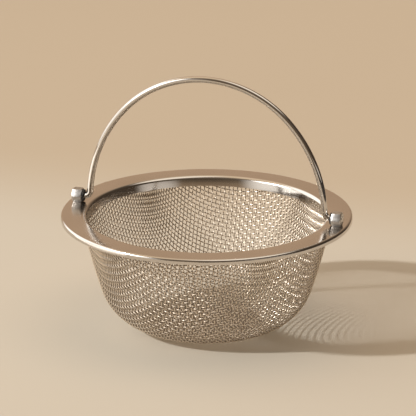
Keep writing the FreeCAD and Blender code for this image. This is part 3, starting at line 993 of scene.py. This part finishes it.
# %% Set up the daylight
SUN_TURN = math.radians(33.5)
SUN_ELEVATION = math.radians(33.2)
SUN_WIDTH = math.radians(2.6)
SUN_DISTANCE = 2.0
SUN_POWER = 3.1
SUN_COLOUR = (1.0, 0.99, 0.97)
PANEL_DISTANCE = 1.6
PANEL_SIDES = (1.0, 0.8)
PANEL_POWER = 7.0
PANEL_COLOUR = (1.0, 0.98, 0.95)

sun_way = Vector((
    math.cos(SUN_TURN) * math.cos(SUN_ELEVATION),
    math.sin(SUN_TURN) * math.cos(SUN_ELEVATION),
    -math.sin(SUN_ELEVATION),
))
sun = new_light("window_sun", "SUN", -sun_way * SUN_DISTANCE, MIDDLE, SUN_POWER, SUN_COLOUR)
sun.data.angle = SUN_WIDTH
new_panel("window_panel", -sun_way * PANEL_DISTANCE, MIDDLE, PANEL_SIDES, PANEL_POWER, PANEL_COLOUR)

# %% [markdown]
# ## A strip and a fill
# A small strip close by is seen only in reflections, where it draws a bright line on the left of the
# steel. A brighter sun would burn out the floor first. A warm panel overhead fills the shadow, and hides
# from reflections so that it leaves no spot on the rim.

# %% Set up the strip and the fill
STRIP_PLACE = (-0.21, -0.09, 0.031)
STRIP_TARGET = (0.0, 0.0, 0.031)
STRIP_SIDES = (0.22, 0.06)
STRIP_POWER = 0.045
STRIP_COLOUR = (1.0, 0.97, 0.93)
FILL_PLACE = (0.4, 0.6, 2.2)
FILL_SIDES = (2.5, 2.5)
FILL_POWER = 14.0
FILL_COLOUR = (1.0, 0.55, 0.22)

strip = new_panel("low_window", STRIP_PLACE, STRIP_TARGET, STRIP_SIDES, STRIP_POWER, STRIP_COLOUR)
strip.visible_camera = strip.visible_diffuse = False
fill = new_panel("warm_fill", FILL_PLACE, MIDDLE, FILL_SIDES, FILL_POWER, FILL_COLOUR)
fill.visible_glossy = False

# %% [markdown]
# ## The room in the mirror
# Steel has no colour of its own: it shows the room. So the world is painted as a room in sand tones, pale
# on the left and dark on the right, with a dim front. A picture of a real room would bring its clutter
# into the rim. Soft round windows are then painted over it, each by how closely a direction points at its
# middle.

# %% The room's colours
LEFT_COLOUR = (0.545, 0.378, 0.248)
RIGHT_COLOUR = (0.07, 0.05, 0.034)
LEFT_CEILING = (0.95, 0.74, 0.52)
RIGHT_CEILING = (0.09, 0.072, 0.055)
FRONT_LOW = (0.36, 0.257, 0.165)
FRONT_MIDDLE = (0.05, 0.038, 0.028)
FRONT_HIGH = (0.15, 0.113, 0.08)

# Where one colour gives way to the next, as parts of a direction of length one.
RIGHT_TO_LEFT = (0.50, -0.35)
FRONT_TO_BACK = (-0.70, -0.05)
SIDE_TO_CEILING = (0.40, 0.90)
LOW_TO_MIDDLE = (0.09, 0.20)
MIDDLE_TO_HIGH = (0.20, 0.36)

# Each window: the way to its middle, the cosines at its outer and inner edge, its top and its light.
NO_TOP = 2.0
TOP_SOFTNESS = 0.05
WINDOWS = {
    "left, behind": ((-0.86, 0.30, 0.41), 0.84, 0.95, NO_TOP, (1.8, 1.73, 1.62)),
    "left, in front": ((-0.75, -0.62, 0.22), 0.80, 0.985, NO_TOP, (1.15, 1.08, 0.98)),
    "left, small": ((-0.94, -0.33, 0.08), 0.965, 0.99, NO_TOP, (1.6, 1.52, 1.40)),
    "overhead": ((0.30, 0.00, 0.954), 0.86, 0.96, NO_TOP, (1.3, 1.15, 0.97)),
    "right, low": ((0.90, -0.42, 0.08), 0.90, 0.99, 0.17, (0.74, 0.67, 0.59)),
}
print("windows in the room:", "; ".join(WINDOWS))


# %% Paint the room
def sand_room():
    """Give the scene a world painted as a room, with its windows on top."""
    world = bpy.data.worlds.new("sand_room")
    bpy.context.scene.world = world
    world.use_nodes = True
    finish = Finish(world.node_tree)
    x, y, z = finish.axes(finish.node("ShaderNodeTexCoord", output="Generated"))
    left = finish.fade(x, *RIGHT_TO_LEFT)
    sides = finish.between(left, RIGHT_COLOUR, LEFT_COLOUR)
    ceiling = finish.between(left, RIGHT_CEILING, LEFT_CEILING)
    front = finish.between(finish.fade(z, *LOW_TO_MIDDLE), FRONT_LOW, FRONT_MIDDLE)
    front = finish.between(finish.fade(z, *MIDDLE_TO_HIGH), front, FRONT_HIGH)
    back = finish.between(finish.fade(z, *SIDE_TO_CEILING), sides, ceiling)
    colour = finish.between(finish.fade(y, *FRONT_TO_BACK), front, back)
    for way, outer, inner, top, glow in WINDOWS.values():
        towards = x * way[0] + y * way[1] + z * way[2]
        below_top = finish.fade(z, top + TOP_SOFTNESS, top - TOP_SOFTNESS)
        colour = finish.between(finish.fade(towards, outer, inner) * below_top, colour, glow)
    light = finish.node("ShaderNodeBackground", None, {"Color": colour, "Strength": 1.0})
    finish.node("ShaderNodeOutputWorld", None, {"Surface": light})


sand_room()
bpy.context.scene.view_settings.view_transform = "Standard"
print("world nodes:", len(bpy.context.scene.world.node_tree.nodes))
